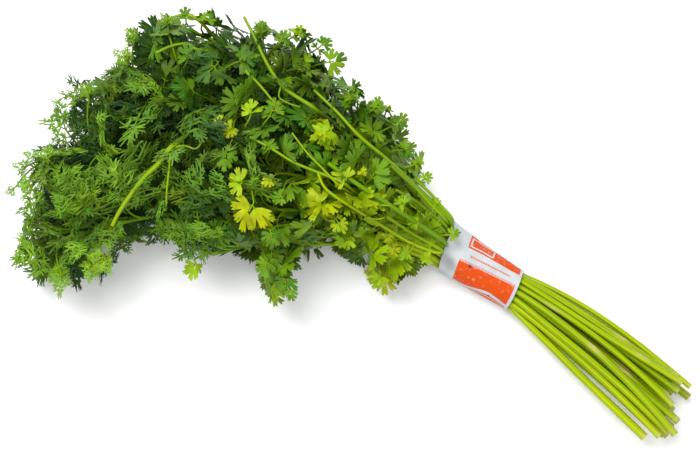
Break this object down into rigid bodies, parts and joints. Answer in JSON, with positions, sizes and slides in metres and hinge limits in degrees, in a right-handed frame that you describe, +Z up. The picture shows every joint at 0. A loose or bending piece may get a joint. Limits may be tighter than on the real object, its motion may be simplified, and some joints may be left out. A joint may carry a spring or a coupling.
{
  "type": "coriander bunch",
  "caption": "Bunch of fresh coriander lying on its side: long cut stems held by a paper wrapper, fanning out into a drooping leafy head.",
  "frame": {"origin": "middle of the wrapper's flat underside, on the surface that the bunch lies on", "axes": "+X along the wrapped stems towards their cut ends, +Z up, so the leafy head opens towards -X and leans to -Y"},
  "size_m": [0.3861, 0.1979, 0.0736],
  "materials": {
    "dark_leaf_green": "fresh leaf, satin",
    "light_leaf_green": "pale leaf and stem, satin",
    "wrapper_paper": "coated white paper with orange printed panels"
  },
  "bodies": {
    "root": {"leafy_stem_01": "dark_leaf_green", "leafy_stem_02": "dark_leaf_green", "leafy_stem_03": "dark_leaf_green", "leafy_stem_04": "dark_leaf_green", "leafy_stem_05": "dark_leaf_green", "leafy_stem_06": "dark_leaf_green", "leafy_stem_07": "dark_leaf_green", "leafy_stem_08": "dark_leaf_green", "leafy_stem_09": "light_leaf_green", "leafy_stem_10": "dark_leaf_green", "leafy_stem_11": "dark_leaf_green", "leafy_stem_12": "dark_leaf_green", "leafy_stem_13": "dark_leaf_green", "leafy_stem_14": "light_leaf_green", "leafy_stem_15": "dark_leaf_green", "leafy_stem_16": "dark_leaf_green", "leafy_stem_17": "dark_leaf_green", "leafy_stem_18": "light_leaf_green", "leafy_stem_19": "dark_leaf_green", "leafy_stem_20": "dark_leaf_green", "leafy_stem_21": "dark_leaf_green", "leafy_stem_22": "light_leaf_green", "leafy_stem_23": "light_leaf_green", "leafy_stem_24": "dark_leaf_green", "leafy_stem_25": "dark_leaf_green", "leafy_stem_26": "light_leaf_green", "wrapper": "wrapper_paper"}
  },
  "joints": []
}
